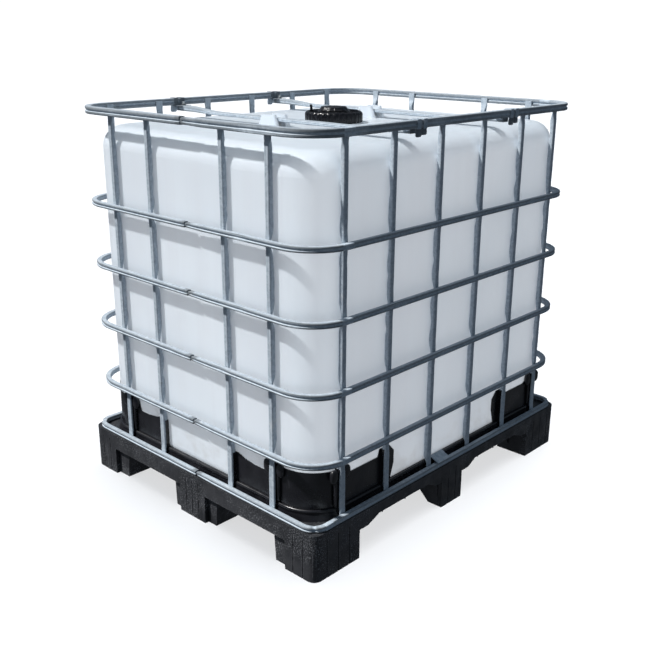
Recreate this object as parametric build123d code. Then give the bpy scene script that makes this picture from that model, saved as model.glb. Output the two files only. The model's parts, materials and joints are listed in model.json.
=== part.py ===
"""Intermediate bulk container: a blow-moulded bottle in a tube cage on a plastic pallet.

Millimetres. The origin is on the floor under the middle of the pallet. +Z is up, +Y is the short
front side with the outlet valve, -Y the short rear side, +X the right long side.
"""
from build123d import *
import os
from math import cos, pi, sin, sqrt

# --- driving dimensions -------------------------------------------------------------------------
WIDTH = 1000.0            # pallet, along X
LENGTH = 1200.0           # pallet, along Y
HEIGHT = 1160.0           # floor to the top of the bar clamps
CLAMP_SHEET = 1.6         # sheet of the clamps that wrap the top ring, flush with the footprint

# pallet
PALLET_CORNER = 26.0
DECK_TOP = 138.0
DECK_THICK = 7.0
SKIRT_THICK = 6.0
SHORT_SKIRT_BOTTOM = 87.0
LONG_SKIRT_BOTTOM = 106.0
GUSSET_BOTTOM = 87.0
RIB_THICK = 4.0
RIB_BOTTOM = 100.0
FOOT_WALL = 5.0
FOOT_FLOOR = 6.0
CURB_TOP = 168.0
CURB_OUTSIDE = 2.0        # how far the curb stands outside the bottle's walls
CURB_THICK = 4.2
GROOVE_WIDTH = 3.0
GROOVE_DEPTH = 2.0

# cage
CAGE_CORNER = 118.0       # outer corner radius of the footprint that the rings follow
TUBE_WALL = 1.0
RING_DEPTH = 16.0
RING_HEIGHT = 16.0
RING_EDGE = 4.0
RING_BOTTOMS = {"bottom": 138.2, "second": 303.0, "third": 495.0, "fourth": 683.0, "fifth": 871.0}
TOP_RING_DEPTH = 20.0
TOP_RING_HEIGHT = 21.5
SEAM_X = 21.0             # every ring closes in a swaged joint on the rear side
SEAM_GAP = 3.0
SWAGE_LENGTH = 26.0
SWAGE_STEP = 1.6
UPRIGHT_WIDTH = 16.0
UPRIGHT_DEPTH = 15.0
UPRIGHT_EDGE = 3.5
UPRIGHT_BOTTOM = 141.0
UPRIGHT_TOP = 1153.0
WELD_GAP = 0.1            # keeps an upright's flat end off the start of a ring's bend
SHAFT_BOTTOM = 186.0
SHAFT_TOP = 1106.0
LOW_FLAT_TOP = 160.0
TOP_FLAT_BOTTOM = 1134.0
TOP_FLAT_WIDTH = 24.0
UPRIGHT_FLAT = 4.0
DRAIN_RADIUS = 2.5
HOLD_DOWN_Y = -45.0
HOLD_DOWN_WIDTH = 58.0
SHORT_SIDE_UPRIGHTS = (-323.0, -154.0, 154.0, 323.0)
LONG_SIDE_UPRIGHTS = (-474.0, -293.0, -97.5, 97.5, 293.0, 474.0)

# bottle
BOTTLE_HALF_X = 465.0
BOTTLE_HALF_Y = 565.0
BOTTLE_CORNER = 110.0
BOTTLE_BOTTOM = 138.3
BOTTLE_TOP = 1102.0
BOTTLE_FOOT_EDGE = 45.0
BOTTLE_SHOULDER = 62.0
BOTTLE_WALL = 2.5
POCKET_HALF_WIDTH = 130.0   # the recess that shelters the valve
POCKET_BACK = 452.0
POCKET_TOP = 335.0
POCKET_EDGE = 28.0
NECK_OUTER = 76.0
NECK_BORE = 71.0
NECK_TOP = 1127.0
KNOB_X = -38.0            # moulded knobs that flank each cross bar
KNOB_LENGTH = 66.0

# cross bars
BAR_Y = 212.0
BAR_WIDTH = 20.0
BAR_HEIGHT = 16.0
BAR_CENTRE_Z = 1129.0
BAR_HALF = 440.0
BAR_END = 470.0
BAR_EDGE = 6.0
BAR_TAPER = 20.0          # from the full section to the flat end
BAR_FLAT_WIDTH = 28.0
BAR_FLAT_THICK = 4.0
BAR_BOLT_X = 456.0
BOLT_SHANK = 4.0
BOLT_HOLE = 4.3
BOLT_HEAD = 6.5
CLAMP_WIDTH = 38.0
CLAMP_FLANGE_END = 444.0
CLAMP_LIP = 6.0

# lid and vent plug
LID_RADIUS = 87.5
LID_BOTTOM = 1104.0
LID_TOP = 1136.0
LID_GRIPS = 30
PLUG_HEAD = 42.0
PLUG_STEM = 28.6
PLUG_HOLE = 29.0
PLUG_TOP = 1149.0

# outlet valve
VALVE_Z = 222.0
VALVE_BORE = 25.0
SPIGOT_RADIUS = 34.0
SPIGOT_END = 487.0
VALVE_END = 588.0
STEM_Y = 527.0
STEM_RADIUS = 5.0
STEM_FIT = 0.05
LEVER_LENGTH = 112.0
LEVER_Z = 270.0

RIGHT, LEFT, REAR, FRONT = "right", "left", "rear", "front"


# --- shared shapes ------------------------------------------------------------------------------
def block(x0, x1, y0, y1, z0, z1):
    """A box between two corners."""
    return Pos((x0 + x1) / 2, (y0 + y1) / 2, (z0 + z1) / 2) * Box(x1 - x0, y1 - y0, z1 - z0)


def rod(radius, z0, z1, x=0.0, y=0.0):
    """A vertical cylinder from z0 to z1."""
    return Pos(x, y, (z0 + z1) / 2) * Cylinder(radius, z1 - z0)


def tube(outer, inner, z0, z1, x=0.0, y=0.0):
    return rod(outer, z0, z1, x, y) - rod(inner, z0 - 1, z1 + 1, x, y)


def barrel(radius, y0, y1):
    """A cylinder on the valve's centre line, from y0 to y1."""
    return Pos(0, (y0 + y1) / 2, VALVE_Z) * Rot(90, 0, 0) * Cylinder(radius, y1 - y0)


def sleeve(outer, inner, y0, y1):
    return barrel(outer, y0, y1) - barrel(inner, y0 - 1, y1 + 1)


def slab(half_x, half_y, corner, z0, z1):
    """A plate with rounded vertical corners."""
    return extrude(Pos(0, 0, z0) * RectangleRounded(2 * half_x, 2 * half_y, corner), z1 - z0)


def footprint_slab(inset, corner, z0, z1):
    """A plate that keeps one distance inside the pallet's footprint."""
    return slab(WIDTH / 2 - inset, LENGTH / 2 - inset, corner - inset, z0, z1)


def frustum(bottom, top, z0, z1):
    """A block between two rectangles (x0, x1, y0, y1), one at z0 and one at z1."""
    faces = []
    for (x0, x1, y0, y1), z in ((bottom, z0), (top, z1)):
        faces.append(Pos((x0 + x1) / 2, (y0 + y1) / 2, z) * Rectangle(x1 - x0, y1 - y0))
    return loft(faces)


def shrink(rectangle, by):
    x0, x1, y0, y1 = rectangle
    return (x0 + by, x1 - by, y0 + by, y1 - by)


def joined(shapes):
    """One solid from shapes that overlap."""
    shapes = list(shapes)
    return shapes[0].fuse(*shapes[1:])


# --- pallet -------------------------------------------------------------------------------------
# Each foot has a straight block that is flush with the skirt, and a flared block set back behind it.
# All are given for the corner at +X, +Y or on the axes, and mirrored to the other places.
CORNER_BLOCK = (390.0, 500.0, 424.0, 600.0)
CORNER_FLARE_BOTTOM = (342.0, 432.0, 440.0, 587.0)
CORNER_FLARE_TOP = (332.0, 432.0, 345.0, 587.0)
SIDE_BLOCK = (456.0, 500.0, -50.0, 50.0)
SIDE_FLARE_BOTTOM = (450.0, 484.0, -50.0, 50.0)
SIDE_FLARE_TOP = (318.0, 484.0, -56.0, 56.0)
END_BLOCK = (-57.0, 57.0, 560.0, 600.0)
END_FLARE_BOTTOM = (-92.0, 92.0, 480.0, 587.0)
END_FLARE_TOP = (-98.0, 98.0, 400.0, 587.0)
MIDDLE_FLARE_BOTTOM = (-92.0, 92.0, -60.0, 60.0)
MIDDLE_FLARE_TOP = (-98.0, 98.0, -100.0, 100.0)


def foot_shape(straight, flare_bottom, flare_top, by, z0):
    """The outer form of a foot when by is 0, and its cavity when by is the wall."""
    top = DECK_TOP - DECK_THICK
    shapes = [frustum(shrink(flare_bottom, by), shrink(flare_top, by), z0, top)]
    if straight:
        x0, x1, y0, y1 = shrink(straight, by)
        shapes.append(block(x0, x1, y0, y1, z0, top))
        return joined(shapes)
    return shapes[0]


def feet():
    """All nine feet, hollow and closed below, and the cavities that open them to the deck."""
    kinds = [
        (CORNER_BLOCK, CORNER_FLARE_BOTTOM, CORNER_FLARE_TOP, [(1, 1), (1, -1), (-1, 1), (-1, -1)]),
        (SIDE_BLOCK, SIDE_FLARE_BOTTOM, SIDE_FLARE_TOP, [(1, 1), (-1, 1)]),
        (END_BLOCK, END_FLARE_BOTTOM, END_FLARE_TOP, [(1, 1), (1, -1)]),
        (None, MIDDLE_FLARE_BOTTOM, MIDDLE_FLARE_TOP, [(1, 1)]),
    ]
    outers, cavities = [], []
    for straight, bottom, top, places in kinds:
        outer = foot_shape(straight, bottom, top, 0.0, 0.0)
        cavity = foot_shape(straight, bottom, top, FOOT_WALL, FOOT_FLOOR)
        for sx, sy in places:
            outers.append(mirrored(outer, sx, sy))
            cavities.append(mirrored(cavity, sx, sy))
    return outers, cavities


def mirrored(shape, sx, sy):
    """A copy on the side that the signs name, of a shape made on the +X, +Y side."""
    if sx < 0:
        shape = mirror(shape, about=Plane.YZ)
    if sy < 0:
        shape = mirror(shape, about=Plane.XZ)
    return shape


def long_skirt():
    """The wall along one long side: low by the feet, stepped up over the fork openings."""
    half = LENGTH / 2 - PALLET_CORNER
    low, high = GUSSET_BOTTOM, LONG_SKIRT_BOTTOM
    outline = [
        (-half, DECK_TOP), (-half, low), (-390, low), (-342, high), (-120, high), (-84, low),
        (84, low), (120, high), (342, high), (390, low), (half, low), (half, DECK_TOP),
    ]
    wall = extrude(Plane.YZ * make_face(Polyline(outline, close=True)), SKIRT_THICK)
    return Pos(WIDTH / 2 - SKIRT_THICK, 0, 0) * wall


def short_skirt():
    half = WIDTH / 2 - PALLET_CORNER
    back = LENGTH / 2 - SKIRT_THICK
    return block(-half, half, back, LENGTH / 2, SHORT_SKIRT_BOTTOM, DECK_TOP)


def foot_grooves():
    """Vertical grooves in the outer faces of the feet."""
    cuts = []
    top = DECK_TOP - 22
    for x in (-456, -420, -28, 0, 28, 420, 456):
        for side in (1, -1):
            face = side * LENGTH / 2
            cuts.append(block(x - GROOVE_WIDTH / 2, x + GROOVE_WIDTH / 2,
                              face - GROOVE_DEPTH, face + GROOVE_DEPTH, -1, top))
    for y in (-553, -509, -465, -18, 18, 465, 509, 553):
        for side in (1, -1):
            face = side * WIDTH / 2
            cuts.append(block(face - GROOVE_DEPTH, face + GROOVE_DEPTH,
                              y - GROOVE_WIDTH / 2, y + GROOVE_WIDTH / 2, -1, top))
    return cuts


def deck_ribs():
    """A grid of stiffening ribs under the deck."""
    top = DECK_TOP - DECK_THICK / 2
    half_x, half_y = WIDTH / 2 - 3, LENGTH / 2 - 3
    ribs = []
    for x in (-300, -220, -140, 140, 220, 300):
        ribs.append(block(x - RIB_THICK / 2, x + RIB_THICK / 2, -half_y, half_y, RIB_BOTTOM, top))
    for y in (-325, -225, -140, 140, 225, 325):
        ribs.append(block(-half_x, half_x, y - RIB_THICK / 2, y + RIB_THICK / 2, RIB_BOTTOM, top))
    ribs_limit = footprint_slab(3.0, PALLET_CORNER, RIB_BOTTOM, top)
    return [rib & ribs_limit for rib in ribs]


def curb():
    """The raised edge that holds the foot of the bottle."""
    out, inside = CURB_OUTSIDE, CURB_OUTSIDE - CURB_THICK
    outer = slab(BOTTLE_HALF_X + out, BOTTLE_HALF_Y + out, BOTTLE_CORNER + out, DECK_TOP - 1, CURB_TOP)
    inner = slab(BOTTLE_HALF_X + inside, BOTTLE_HALF_Y + inside, BOTTLE_CORNER + inside,
                 DECK_TOP - 2, CURB_TOP + 1)
    return outer - inner


def pallet():
    outline = footprint_slab(0.0, PALLET_CORNER, 0.0, DECK_TOP)
    deck = footprint_slab(0.0, PALLET_CORNER, DECK_TOP - DECK_THICK, DECK_TOP)
    outers, cavities = feet()
    walls = outers + [long_skirt(), mirror(long_skirt(), about=Plane.YZ)]
    walls += [short_skirt(), mirror(short_skirt(), about=Plane.XZ)]
    shell = joined(walls + deck_ribs()) & outline
    for cavity in cavities:
        shell -= cavity
    body = joined([deck, shell, curb()])
    for cut in foot_grooves():
        body -= cut
    valve_notch = block(-100, 100, 540, 575, CURB_TOP - 12, CURB_TOP + 1)
    return body - valve_notch


# --- corner guards ------------------------------------------------------------------------------
GUARD_THICK = 1.7
GUARD_GAP = 0.3
GUARD_REACH = 12.5
FIN_THICK = 2.6
FIN_CLEAR = 0.4           # between a fin and the upright that it holds
FIN_BOTTOM = 156.0


def guard_side(plane, points):
    """A guard's outline on one side, as a prism that trims the wrapped sheet."""
    return extrude(plane * make_face(Polyline(points, close=True)), 220)


def guard_hook(centre, high, bend):
    """Two fins beside an upright of the rear side: on the sheet above the curb, outside it below.

    bend is where the bottle's corner starts; a fin past it reaches in to the curved sheet.
    """
    wall = -(BOTTLE_HALF_Y + GUARD_GAP)
    tip = wall - GUARD_REACH
    fins = []
    for side in (-1, 1):
        near = centre + side * (UPRIGHT_WIDTH / 2 + FIN_CLEAR)
        far = near + side * FIN_THICK
        x0, x1 = min(near, far), max(near, far)
        past = max(0.0, (x0 + x1) / 2 - bend)
        sag = BOTTLE_CORNER - sqrt(BOTTLE_CORNER ** 2 - past ** 2)
        fins.append(block(x0, x1, tip, wall - GUARD_THICK / 2 + sag, CURB_TOP + 0.2, high))
        fins.append(block(x0, x1, tip, wall - GUARD_THICK - 0.4, FIN_BOTTOM, CURB_TOP + 1))
    return fins


def corner_guard():
    """The guard of the rear right corner: a sheet round the bottle with hooks for the uprights."""
    bottom = CURB_TOP + 0.2
    inner = GUARD_GAP
    outer = GUARD_GAP + GUARD_THICK
    sheet = slab(BOTTLE_HALF_X + outer, BOTTLE_HALF_Y + outer, BOTTLE_CORNER + outer, bottom, 296)
    sheet -= slab(BOTTLE_HALF_X + inner, BOTTLE_HALF_Y + inner, BOTTLE_CORNER + inner, bottom - 1, 297)
    rear = guard_side(Plane.XZ.offset(400), [
        (144, bottom), (144, 250), (149, 257), (176, 257), (200, 248), (240, 243), (278, 243),
        (284, 262), (292, 290), (338, 290), (345, 276), (500, 270), (500, bottom)])
    side = guard_side(Plane.YZ.offset(400), [
        (-600, bottom), (-600, 272), (-505, 278), (-498, 291), (-458, 289), (-444, 262), (-428, 254),
        (-316, 254), (-309, 276), (-268, 276), (-246, 252), (-246, 215), (-260, bottom)])
    rear_zone = block(140, 360, -600, -500, 0, 400)
    side_zone = block(440, 500, -456, -240, 0, 400)
    corner_zone = block(355, 500, -600, -450, 0, 275)
    guard = joined([sheet & rear & rear_zone, sheet & corner_zone, sheet & side & side_zone])
    short_bend, long_bend = BOTTLE_HALF_X - BOTTLE_CORNER, BOTTLE_HALF_Y - BOTTLE_CORNER
    fins = guard_hook(323, 288, short_bend) + guard_hook(154, 256, short_bend)
    turned = guard_hook(474, 282, long_bend) + guard_hook(293, 275, long_bend)
    side_fins = []
    for fin in turned:
        moved = Pos(-(BOTTLE_HALF_Y - BOTTLE_HALF_X), 0, 0) * Rot(0, 0, 90) * fin
        side_fins.append(mirror(moved, about=Plane.XZ))
    return joined([guard] + fins + side_fins)


# --- cage ---------------------------------------------------------------------------------------
def frame_loop(inset, depth, z0, z1, edge):
    """A closed loop of rounded rectangular section that follows the cage's outline."""
    loop = footprint_slab(inset, CAGE_CORNER, z0, z1) - footprint_slab(
        inset + depth, CAGE_CORNER, z0 - 1, z1 + 1)
    flat_edges = loop.edges().filter_by(lambda e: abs(e.start_point().Z - e.end_point().Z) < 0.01)
    return fillet(flat_edges, edge)


def cage_ring(z0, height, depth):
    """A tube bent to a loop, its swaged end pushed into its other end on the rear side."""
    inset = CLAMP_SHEET
    z1 = z0 + height
    wall = TUBE_WALL
    loop = frame_loop(inset, depth, z0, z1, RING_EDGE)
    loop -= frame_loop(inset + wall, depth - 2 * wall, z0 + wall, z1 - wall, RING_EDGE - wall)
    face = -LENGTH / 2
    loop -= block(SEAM_X - SEAM_GAP / 2, SEAM_X + SEAM_GAP / 2, face - 5, face + depth + 10,
                  z0 - 5, z1 + 5)
    middle_y = face + inset + depth / 2
    middle_z = (z0 + z1) / 2
    neck_y = depth - 2 * wall - SWAGE_STEP
    neck_z = height - 2 * wall - SWAGE_STEP
    start, stop = SEAM_X - SWAGE_LENGTH, SEAM_X + SEAM_GAP / 2 + 3
    centre = Pos((start + stop) / 2, middle_y, middle_z)
    neck = centre * Box(stop - start, neck_y, neck_z)
    bore = centre * Box(stop - start + 2, neck_y - 2 * wall, neck_z - 2 * wall)
    lip = Pos(SEAM_X + SEAM_GAP / 2 + 1, middle_y, middle_z) * Box(2, depth - wall, height - wall)
    return joined([loop, (neck + lip) - bore])


def upright():
    """An upright tube of the right side at y = 0, pinched flat at both ends against the rings."""
    outer = WIDTH / 2 - CLAMP_SHEET - RING_DEPTH
    inner = outer - UPRIGHT_DEPTH
    top_face = WIDTH / 2 - CLAMP_SHEET - TOP_RING_DEPTH - WELD_GAP
    half = UPRIGHT_WIDTH / 2
    low, high = SHAFT_BOTTOM, SHAFT_TOP
    shaft = block(inner, outer, -half, half, low, high)
    shaft = fillet(shaft.edges().filter_by(Axis.Z), UPRIGHT_EDGE)
    wall = TUBE_WALL
    cavity = block(inner + wall, outer - wall, -half + wall, half - wall, low + 2, high - 2)
    drains = [Pos(outer, 0, z) * Rot(0, 90, 0) * Cylinder(DRAIN_RADIUS, 6) for z in (low + 14, high - 14)]
    full = (inner, outer, -half, half)
    top_flat = (top_face - UPRIGHT_FLAT, top_face, -TOP_FLAT_WIDTH / 2, TOP_FLAT_WIDTH / 2)
    low_flat = (outer - UPRIGHT_FLAT, outer, -half, half)
    pieces = [
        shaft - cavity - drains[0] - drains[1],
        frustum(full, top_flat, high, TOP_FLAT_BOTTOM),
        frustum(top_flat, top_flat, TOP_FLAT_BOTTOM, UPRIGHT_TOP),
        frustum(low_flat, full, LOW_FLAT_TOP, low),
        frustum(low_flat, low_flat, UPRIGHT_BOTTOM, LOW_FLAT_TOP),
    ]
    return joined(pieces)


def upright_on(shape, side, along):
    """The upright moved to its place along a side of the cage."""
    if side == RIGHT:
        return Pos(0, along, 0) * shape
    if side == LEFT:
        return Pos(0, along, 0) * Rot(0, 0, 180) * shape
    out = (LENGTH - WIDTH) / 2
    if side == FRONT:
        return Pos(along, out, 0) * Rot(0, 0, 90) * shape
    return Pos(along, -out, 0) * Rot(0, 0, 270) * shape


def hold_down():
    """The sheet clip at the middle of the right side that ties the bottom ring to the pallet."""
    outline = [(467.6, DECK_TOP + 0.1), (478.6, DECK_TOP + 0.1), (478.6, DECK_TOP + 2.1),
               (469.6, DECK_TOP + 2.1), (469.6, 168.0), (480.0, 162.4), (498.0, 155.4),
               (499.4, 157.2), (481.0, 164.6), (467.6, 172.0)]
    sheet = extrude(Plane.XZ * make_face(Polyline(outline, close=True)), HOLD_DOWN_WIDTH / 2, both=True)
    return Pos(0, HOLD_DOWN_Y, 0) * sheet


# --- cross bars ---------------------------------------------------------------------------------
def cross_bar():
    """An oval tube across the top, flattened at both ends where it is bolted to its clamps."""
    section = RectangleRounded(BAR_WIDTH, BAR_HEIGHT, BAR_EDGE)
    bore = RectangleRounded(BAR_WIDTH - 2 * TUBE_WALL, BAR_HEIGHT - 2 * TUBE_WALL, BAR_EDGE - TUBE_WALL)
    round_half = BAR_HALF - BAR_TAPER
    body = extrude(Plane.YZ * section, round_half, both=True)
    body -= extrude(Plane.YZ * bore, round_half - 2 * TUBE_WALL, both=True)
    body -= rod(DRAIN_RADIUS, -BAR_HEIGHT, 0, 300)
    flange = HEIGHT - CLAMP_SHEET - TOP_RING_HEIGHT - CLAMP_SHEET
    flat_z = flange - BAR_FLAT_THICK / 2 - BAR_CENTRE_Z
    flat = Pos(0, flat_z) * RectangleRounded(BAR_FLAT_WIDTH, BAR_FLAT_THICK, BAR_FLAT_THICK / 2 - 0.1)
    ends = []
    for side in (1, -1):
        root = Plane.YZ.offset(side * round_half) * section
        tip = Plane.YZ.offset(side * BAR_HALF) * flat
        plate = extrude(tip, side * (BAR_END - BAR_HALF))
        hole = rod(BOLT_HOLE, flat_z - BAR_HEIGHT, flat_z + BAR_HEIGHT, side * BAR_BOLT_X)
        ends += [loft([root, tip]), plate - hole]
    return Pos(0, BAR_Y, BAR_CENTRE_Z) * joined([body] + ends)


def bar_clamp():
    """The sheet clamp that wraps the top ring and carries the right end of the front bar."""
    out = WIDTH / 2
    top = HEIGHT
    ring_low = top - CLAMP_SHEET - TOP_RING_HEIGHT
    ring_in = out - CLAMP_SHEET - TOP_RING_DEPTH
    s = CLAMP_SHEET
    outline = [(out, top), (out, ring_low - s), (CLAMP_FLANGE_END, ring_low - s),
               (CLAMP_FLANGE_END, ring_low), (out - s, ring_low), (out - s, top - s),
               (ring_in, top - s), (ring_in, ring_low + CLAMP_LIP),
               (ring_in - s, ring_low + CLAMP_LIP), (ring_in - s, top)]
    sheet = extrude(Plane.XZ * make_face(Polyline(outline, close=True)), CLAMP_WIDTH / 2, both=True)
    hole = rod(BOLT_HOLE, ring_low - 5, ring_low + 5, BAR_BOLT_X)
    return Pos(0, BAR_Y, 0) * (sheet - hole)


def bar_bolts():
    """The four bolts and nuts that hold the bars in their clamps."""
    flange = HEIGHT - CLAMP_SHEET - TOP_RING_HEIGHT
    seat = flange - CLAMP_SHEET - BAR_FLAT_THICK
    head = extrude(RegularPolygon(BOLT_HEAD, 6), -5.0)
    nut = extrude(Pos(0, 0, flange - seat) * RegularPolygon(BOLT_HEAD, 6), 5.5)
    one = head + rod(BOLT_SHANK, -0.5, 18.0) + nut
    return Compound([Pos(sx * BAR_BOLT_X, sy * BAR_Y, seat) * one for sx in (1, -1) for sy in (1, -1)])


def id_plate():
    """A blank marking plate between two rings of the front side, folded round two uprights."""
    low, high = RING_BOTTOMS["fourth"] + RING_HEIGHT + 6, RING_BOTTOMS["fifth"] - 6
    back = LENGTH / 2 - CLAMP_SHEET - RING_DEPTH
    plate = block(-185, 185, back, back + 1.2, low, high)
    rims = [block(-185, 185, back, back + 3.2, z - 1.2, z) for z in (low + 1.2, high)]
    holes = [Pos(x, back, z) * Rot(90, 0, 0) * Cylinder(2.6, 8)
             for x in (-154, 154) for z in (low + 25, high - 25)]
    result = joined([plate] + rims)
    for hole in holes:
        result -= hole
    return result


def plate_rivets():
    low, high = RING_BOTTOMS["fourth"] + RING_HEIGHT + 31, RING_BOTTOMS["fifth"] - 31
    back = LENGTH / 2 - CLAMP_SHEET - RING_DEPTH
    rivets = []
    for x in (-154, 154):
        for z in (low, high):
            head = Pos(x, back + 2.2, z) * Rot(90, 0, 0) * Cylinder(4.5, 2)
            shank = Pos(x, back + 0.7, z) * Rot(90, 0, 0) * Cylinder(2.5, 1.4)
            rivets.append(head + shank)
    return Compound(rivets)


# --- bottle -------------------------------------------------------------------------------------
def bottle_form(inset):
    """The bottle's outer form, or its cavity when inset is the wall."""
    z0, z1 = BOTTLE_BOTTOM + inset, BOTTLE_TOP - inset
    form = slab(BOTTLE_HALF_X - inset, BOTTLE_HALF_Y - inset, BOTTLE_CORNER - inset, z0, z1)
    form = fillet(form.edges().group_by(Axis.Z)[-1], BOTTLE_SHOULDER - inset)
    form = fillet(form.edges().group_by(Axis.Z)[0], BOTTLE_FOOT_EDGE - inset)
    half = POCKET_HALF_WIDTH + inset
    pocket = block(-half, half, POCKET_BACK - inset, LENGTH, BOTTLE_BOTTOM - 60, POCKET_TOP + inset)
    pocket = fillet(pocket.edges().filter_by(Axis.Y).group_by(Axis.Z)[-1], POCKET_EDGE + inset)
    return form - pocket


def bar_knobs():
    """Rounded knobs on the bottle's top that flank each cross bar near its middle."""
    knobs = []
    for bar in (BAR_Y, -BAR_Y):
        for side in (1, -1):
            y = bar + side * (BAR_WIDTH / 2 + 11)
            bottom = Pos(KNOB_X, y, BOTTLE_TOP - 1) * RectangleRounded(KNOB_LENGTH + 16, 20, 9)
            top = Pos(KNOB_X, y, 1137) * RectangleRounded(KNOB_LENGTH - 14, 14, 6)
            knobs.append(loft([bottom, top]))
    return knobs


def bottle():
    collar = rod(NECK_OUTER + 14, BOTTLE_TOP - 1, BOTTLE_TOP + 1.5)
    neck = rod(NECK_OUTER, BOTTLE_TOP - BOTTLE_WALL, NECK_TOP)
    threads = [rod(NECK_OUTER + 2, z, z + 3) for z in (NECK_TOP - 7, NECK_TOP - 14)]
    spigot = barrel(SPIGOT_RADIUS, POCKET_BACK - BOTTLE_WALL, SPIGOT_END)
    outside = joined([bottle_form(0.0), collar, neck, spigot] + threads + bar_knobs())
    hollow = outside - bottle_form(BOTTLE_WALL) - rod(NECK_BORE, BOTTLE_TOP - 20, NECK_TOP + 1)
    return hollow - barrel(VALVE_BORE, POCKET_BACK - 20, SPIGOT_END + 1)


# --- lid and vent plug --------------------------------------------------------------------------
def lid():
    """The screw lid: a ribbed skirt over the neck, a rim, and a boss with the vent plug's hole."""
    body = rod(LID_RADIUS - 2.5, LID_BOTTOM, LID_TOP)
    body = fillet(body.edges().group_by(Axis.Z)[-1], 5)
    grips = []
    for i in range(LID_GRIPS):
        turn = Rot(0, 0, 360.0 * i / LID_GRIPS)
        grips.append(turn * Pos(LID_RADIUS - 3.0, 0, (LID_BOTTOM + LID_TOP - 6) / 2)
                     * Box(6, 8, LID_TOP - 6 - LID_BOTTOM))
    outside = joined([body] + grips)
    outside = outside & rod(LID_RADIUS, LID_BOTTOM, LID_TOP)
    outside -= tube(LID_RADIUS - 10, PLUG_HEAD + 8, LID_TOP - 4, LID_TOP + 1)
    cavity = rod(NECK_OUTER + 2.6, LID_BOTTOM - 1, NECK_TOP + 3.0)
    boss = rod(PLUG_HEAD - 4, NECK_TOP - 6, LID_TOP)
    return (outside - cavity + boss) - rod(PLUG_HOLE, NECK_TOP - 10, LID_TOP + 1)


def lid_gasket():
    return tube(NECK_OUTER - 0.5, NECK_BORE + 0.3, NECK_TOP + 0.1, NECK_TOP + 2.9)


def vent_plug_gasket():
    return tube(PLUG_HEAD - 3, PLUG_STEM + 0.6, LID_TOP + 0.1, LID_TOP + 2.1)


def vent_plug():
    """The plug in the lid's middle: a scalloped head with a raised cross bar, and a hollow stem."""
    head = rod(PLUG_HEAD, LID_TOP + 2.2, PLUG_TOP - 3)
    head = fillet(head.edges().group_by(Axis.Z)[-1], 3)
    for i in range(8):
        angle = 2 * pi * i / 8
        head -= rod(7, LID_TOP, PLUG_TOP + 1, 46 * cos(angle), 46 * sin(angle))
    wing = block(-30, 30, -5, 5, PLUG_TOP - 4, PLUG_TOP)
    stem = tube(PLUG_STEM, PLUG_STEM - 4, NECK_TOP - 6, LID_TOP + 3)
    return joined([head, wing, stem])


# --- outlet valve -------------------------------------------------------------------------------
def valve_body():
    """The butterfly valve's housing, with a flange behind, a stem boss above and a threaded end."""
    flange = barrel(SPIGOT_RADIUS, SPIGOT_END + 2.1, SPIGOT_END + 9)
    shell = barrel(31, SPIGOT_END + 2.1, VALVE_END)
    belly = barrel(36, STEM_Y - 18, STEM_Y + 18)
    belly = fillet(belly.edges(), 5)
    boss = rod(12, VALVE_Z, LEVER_Z - 1.0, 0, STEM_Y)
    foot = rod(11, VALVE_Z - 37, VALVE_Z, 0, STEM_Y)
    stops = [block(x - 3, x + 3, STEM_Y + 13, STEM_Y + 19, VALVE_Z + 28, LEVER_Z - 2) for x in (-8, 8)]
    threads = [barrel(32.5, y, y + 3) for y in (568, 575, 582)]
    collar = barrel(35, 556, 562)
    outside = joined([flange, shell, belly, boss, foot, collar] + threads + stops)
    bore = barrel(VALVE_BORE, SPIGOT_END, VALVE_END + 1)
    seat_groove = barrel(29.0, STEM_Y - 9, STEM_Y + 9)
    stem_hole = rod(STEM_RADIUS + STEM_FIT, VALVE_Z - 33, LEVER_Z + 1, 0, STEM_Y)
    return outside - bore - seat_groove - stem_hole


def valve_seat():
    """The rubber liner that the disc closes against."""
    ring = sleeve(28.9, VALVE_BORE, STEM_Y - 8.9, STEM_Y + 8.9)
    return ring - rod(STEM_RADIUS + 0.3, VALVE_Z - 40, VALVE_Z + 40, 0, STEM_Y)


def valve_gasket():
    return sleeve(SPIGOT_RADIUS - 1, VALVE_BORE + 1, SPIGOT_END + 0.1, SPIGOT_END + 2.0)


def valve_union_nut():
    """The ribbed nut that clamps the valve's flange to the bottle's spigot."""
    body = barrel(43, POCKET_BACK + 8, SPIGOT_END + 14)
    ribs = []
    for i in range(12):
        angle = 2 * pi * i / 12
        rib = Pos(44 * cos(angle), (POCKET_BACK + SPIGOT_END + 22) / 2, VALVE_Z + 44 * sin(angle))
        ribs.append(rib * Rot(0, -360.0 * i / 12, 0) * Box(5, SPIGOT_END + 6 - POCKET_BACK, 7))
    nut = joined([body] + ribs)
    nut -= barrel(SPIGOT_RADIUS + 0.4, POCKET_BACK, SPIGOT_END + 9.4)
    return nut - barrel(31.4, SPIGOT_END, SPIGOT_END + 20)


def valve_disc():
    disc = barrel(24.4, STEM_Y - 2.5, STEM_Y + 2.5)
    hub = rod(8, VALVE_Z - 20, VALVE_Z + 20, 0, STEM_Y)
    return (disc + hub) - rod(STEM_RADIUS, VALVE_Z - 30, VALVE_Z + 30, 0, STEM_Y)


def valve_shaft():
    return rod(STEM_RADIUS, VALVE_Z - 32, LEVER_Z + 8, 0, STEM_Y)


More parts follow.
